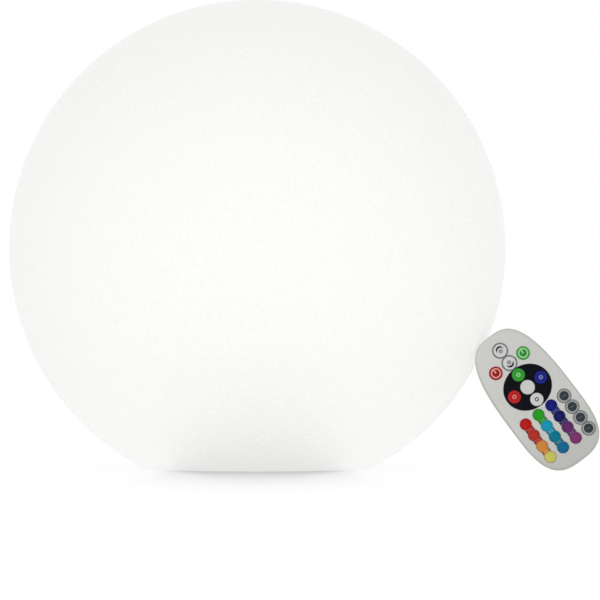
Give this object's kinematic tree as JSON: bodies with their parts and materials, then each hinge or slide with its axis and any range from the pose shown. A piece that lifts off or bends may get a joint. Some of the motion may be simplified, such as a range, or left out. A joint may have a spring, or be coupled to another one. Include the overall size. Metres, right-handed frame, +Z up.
{
  "type": "garden globe light",
  "caption": "Glowing garden ball with a flat base, a screwed-in rechargeable light module and a leaning oval key handset.",
  "frame": {"origin": "centre of the globe's flat base, on the ground", "axes": "+Z up through the globe's centre; +X towards the side that the handset leans on; -Y is the side that the handset's face looks to"},
  "size_m": [0.3308, 0.28, 0.2646],
  "materials": {
    "white_globe": "fine matte, translucent",
    "dark_seal": "matte",
    "white_housing": "satin",
    "steel": "bright zinc",
    "cell_wrap": "shrink wrap",
    "nickel": "plain",
    "black_plastic": "satin",
    "lead_cover": "smooth",
    "board_green": "solder mask",
    "lamp_board_white": "white solder mask",
    "lamp_chip": "silicone lens",
    "clear_dome": "clear plastic",
    "clear_rod": "clear plastic",
    "handset_case": "fine satin",
    "panel_black": "satin print",
    "web_grey": "matte",
    "contact_steel": "sprung strip",
    "emitter_tint": "dark tinted",
    "coin_steel": "plain",
    "key_brighter_cap": "satin",
    "key_dimmer_cap": "satin",
    "key_off_cap": "satin",
    "key_on_cap": "satin",
    "key_green_cap": "satin",
    "key_red_cap": "satin",
    "key_blue_cap": "satin",
    "key_white_cap": "satin",
    "key_row1_column1_cap": "satin",
    "key_row2_column1_cap": "satin",
    "key_row3_column1_cap": "satin",
    "key_row4_column1_cap": "satin",
    "key_row1_column2_cap": "satin",
    "key_row2_column2_cap": "satin",
    "key_row3_column2_cap": "satin",
    "key_row4_column2_cap": "satin",
    "key_row1_column3_cap": "satin",
    "key_row2_column3_cap": "satin",
    "key_row3_column3_cap": "satin",
    "key_row4_column3_cap": "satin",
    "mode_key_cap": "satin"
  },
  "bodies": {
    "lamp": {"globe_shell": "white_globe", "shell_gasket": "dark_seal", "module_housing": "white_housing", "flange_screws": "steel", "base_cover": "white_housing", "cover_gasket": "dark_seal", "cover_screws": "steel", "inner_screws": "steel", "battery_cells": "cell_wrap", "cell_tabs": "nickel", "battery_cradle": "black_plastic", "battery_leads": "lead_cover", "control_board": "board_green", "board_parts": "black_plastic", "power_switch": "black_plastic", "button_seal": "dark_seal", "charge_jack": "black_plastic", "charge_light": "clear_rod", "lamp_board": "lamp_board_white", "lamp_chips": "lamp_chip", "lamp_leads": "lead_cover", "ir_receiver": "black_plastic", "lamp_dome": "clear_dome"},
    "base_button": {"power_button": "black_plastic", "switch_plunger": "black_plastic"},
    "jack_stopper": {"jack_stopper": "dark_seal"},
    "handset": {"handset_back_shell": "handset_case", "handset_front_shell": "handset_case", "face_panel": "panel_black", "key_web": "web_grey", "handset_board": "board_green", "handset_chip": "black_plastic", "ir_emitter": "emitter_tint", "battery_contacts": "contact_steel"},
    "battery_tray": {"battery_tray": "handset_case", "coin_cell": "coin_steel"},
    "key_brighter": {"key_brighter": "key_brighter_cap"},
    "key_dimmer": {"key_dimmer": "key_dimmer_cap"},
    "key_off": {"key_off": "key_off_cap"},
    "key_on": {"key_on": "key_on_cap"},
    "key_green": {"key_green": "key_green_cap"},
    "key_red": {"key_red": "key_red_cap"},
    "key_blue": {"key_blue": "key_blue_cap"},
    "key_white": {"key_white": "key_white_cap"},
    "key_row1_column1": {"key_row1_column1": "key_row1_column1_cap"},
    "key_row2_column1": {"key_row2_column1": "key_row2_column1_cap"},
    "key_row3_column1": {"key_row3_column1": "key_row3_column1_cap"},
    "key_row4_column1": {"key_row4_column1": "key_row4_column1_cap"},
    "key_row1_column2": {"key_row1_column2": "key_row1_column2_cap"},
    "key_row2_column2": {"key_row2_column2": "key_row2_column2_cap"},
    "key_row3_column2": {"key_row3_column2": "key_row3_column2_cap"},
    "key_row4_column2": {"key_row4_column2": "key_row4_column2_cap"},
    "key_row1_column3": {"key_row1_column3": "key_row1_column3_cap"},
    "key_row2_column3": {"key_row2_column3": "key_row2_column3_cap"},
    "key_row3_column3": {"key_row3_column3": "key_row3_column3_cap"},
    "key_row4_column3": {"key_row4_column3": "key_row4_column3_cap"},
    "key_row1_column4": {"key_row1_column4": "mode_key_cap"},
    "key_row2_column4": {"key_row2_column4": "mode_key_cap"},
    "key_row3_column4": {"key_row3_column4": "mode_key_cap"},
    "key_row4_column4": {"key_row4_column4": "mode_key_cap"}
  },
  "joints": [
    {"name": "base_button_press", "type": "slide", "parent": "lamp", "child": "base_button", "axis": [0, 0, 1], "range_m": [0, 0.001], "stiffness_N_per_m": 900, "springref_m": -0.0008},
    {"name": "battery_tray_pull", "type": "slide", "parent": "handset", "child": "battery_tray", "axis": [0.599, -0.0837, -0.7963], "range_m": [0, 0.028]},
    {"name": "detach_handset", "type": "slide", "parent": "lamp", "child": "handset", "axis": [0.2001, -0.8803, 0.4302], "range_m": [0, 0.06]},
    {"name": "jack_stopper_swing", "type": "hinge", "parent": "lamp", "child": "jack_stopper", "pos_m": [0.0275, 0, 0.00085], "axis": [0, -1, 0], "range_deg": [0, 90]},
    {"name": "key_brighter_press", "type": "slide", "parent": "handset", "child": "key_brighter", "axis": [0, 0.9945, -0.1045], "range_m": [0, 0.0005], "stiffness_N_per_m": 1200, "springref_m": -0.0004},
    {"name": "key_dimmer_press", "type": "slide", "parent": "handset", "child": "key_dimmer", "axis": [0, 0.9945, -0.1045], "range_m": [0, 0.0005], "stiffness_N_per_m": 1200, "springref_m": -0.0004},
    {"name": "key_off_press", "type": "slide", "parent": "handset", "child": "key_off", "axis": [0, 0.9945, -0.1045], "range_m": [0, 0.0005], "stiffness_N_per_m": 1200, "springref_m": -0.0004},
    {"name": "key_on_press", "type": "slide", "parent": "handset", "child": "key_on", "axis": [0, 0.9945, -0.1045], "range_m": [0, 0.0005], "stiffness_N_per_m": 1200, "springref_m": -0.0004},
    {"name": "key_green_press", "type": "slide", "parent": "handset", "child": "key_green", "axis": [0, 0.9945, -0.1045], "range_m": [0, 0.0005], "stiffness_N_per_m": 1200, "springref_m": -0.0004},
    {"name": "key_red_press", "type": "slide", "parent": "handset", "child": "key_red", "axis": [0, 0.9945, -0.1045], "range_m": [0, 0.0005], "stiffness_N_per_m": 1200, "springref_m": -0.0004},
    {"name": "key_blue_press", "type": "slide", "parent": "handset", "child": "key_blue", "axis": [0, 0.9945, -0.1045], "range_m": [0, 0.0005], "stiffness_N_per_m": 1200, "springref_m": -0.0004},
    {"name": "key_white_press", "type": "slide", "parent": "handset", "child": "key_white", "axis": [0, 0.9945, -0.1045], "range_m": [0, 0.0005], "stiffness_N_per_m": 1200, "springref_m": -0.0004},
    {"name": "key_row1_column1_press", "type": "slide", "parent": "handset", "child": "key_row1_column1", "axis": [0, 0.9945, -0.1045], "range_m": [0, 0.0005], "stiffness_N_per_m": 1200, "springref_m": -0.0004},
    {"name": "key_row2_column1_press", "type": "slide", "parent": "handset", "child": "key_row2_column1", "axis": [0, 0.9945, -0.1045], "range_m": [0, 0.0005], "stiffness_N_per_m": 1200, "springref_m": -0.0004},
    {"name": "key_row3_column1_press", "type": "slide", "parent": "handset", "child": "key_row3_column1", "axis": [0, 0.9945, -0.1045], "range_m": [0, 0.0005], "stiffness_N_per_m": 1200, "springref_m": -0.0004},
    {"name": "key_row4_column1_press", "type": "slide", "parent": "handset", "child": "key_row4_column1", "axis": [0, 0.9945, -0.1045], "range_m": [0, 0.0005], "stiffness_N_per_m": 1200, "springref_m": -0.0004},
    {"name": "key_row1_column2_press", "type": "slide", "parent": "handset", "child": "key_row1_column2", "axis": [0, 0.9945, -0.1045], "range_m": [0, 0.0005], "stiffness_N_per_m": 1200, "springref_m": -0.0004},
    {"name": "key_row2_column2_press", "type": "slide", "parent": "handset", "child": "key_row2_column2", "axis": [0, 0.9945, -0.1045], "range_m": [0, 0.0005], "stiffness_N_per_m": 1200, "springref_m": -0.0004},
    {"name": "key_row3_column2_press", "type": "slide", "parent": "handset", "child": "key_row3_column2", "axis": [0, 0.9945, -0.1045], "range_m": [0, 0.0005], "stiffness_N_per_m": 1200, "springref_m": -0.0004},
    {"name": "key_row4_column2_press", "type": "slide", "parent": "handset", "child": "key_row4_column2", "axis": [0, 0.9945, -0.1045], "range_m": [0, 0.0005], "stiffness_N_per_m": 1200, "springref_m": -0.0004},
    {"name": "key_row1_column3_press", "type": "slide", "parent": "handset", "child": "key_row1_column3", "axis": [0, 0.9945, -0.1045], "range_m": [0, 0.0005], "stiffness_N_per_m": 1200, "springref_m": -0.0004},
    {"name": "key_row2_column3_press", "type": "slide", "parent": "handset", "child": "key_row2_column3", "axis": [0, 0.9945, -0.1045], "range_m": [0, 0.0005], "stiffness_N_per_m": 1200, "springref_m": -0.0004},
    {"name": "key_row3_column3_press", "type": "slide", "parent": "handset", "child": "key_row3_column3", "axis": [0, 0.9945, -0.1045], "range_m": [0, 0.0005], "stiffness_N_per_m": 1200, "springref_m": -0.0004},
    {"name": "key_row4_column3_press", "type": "slide", "parent": "handset", "child": "key_row4_column3", "axis": [0, 0.9945, -0.1045], "range_m": [0, 0.0005], "stiffness_N_per_m": 1200, "springref_m": -0.0004},
    {"name": "key_row1_column4_press", "type": "slide", "parent": "handset", "child": "key_row1_column4", "axis": [0, 0.9945, -0.1045], "range_m": [0, 0.0005], "stiffness_N_per_m": 1200, "springref_m": -0.0004},
    {"name": "key_row2_column4_press", "type": "slide", "parent": "handset", "child": "key_row2_column4", "axis": [0, 0.9945, -0.1045], "range_m": [0, 0.0005], "stiffness_N_per_m": 1200, "springref_m": -0.0004},
    {"name": "key_row3_column4_press", "type": "slide", "parent": "handset", "child": "key_row3_column4", "axis": [0, 0.9945, -0.1045], "range_m": [0, 0.0005], "stiffness_N_per_m": 1200, "springref_m": -0.0004},
    {"name": "key_row4_column4_press", "type": "slide", "parent": "handset", "child": "key_row4_column4", "axis": [0, 0.9945, -0.1045], "range_m": [0, 0.0005], "stiffness_N_per_m": 1200, "springref_m": -0.0004}
  ]
}
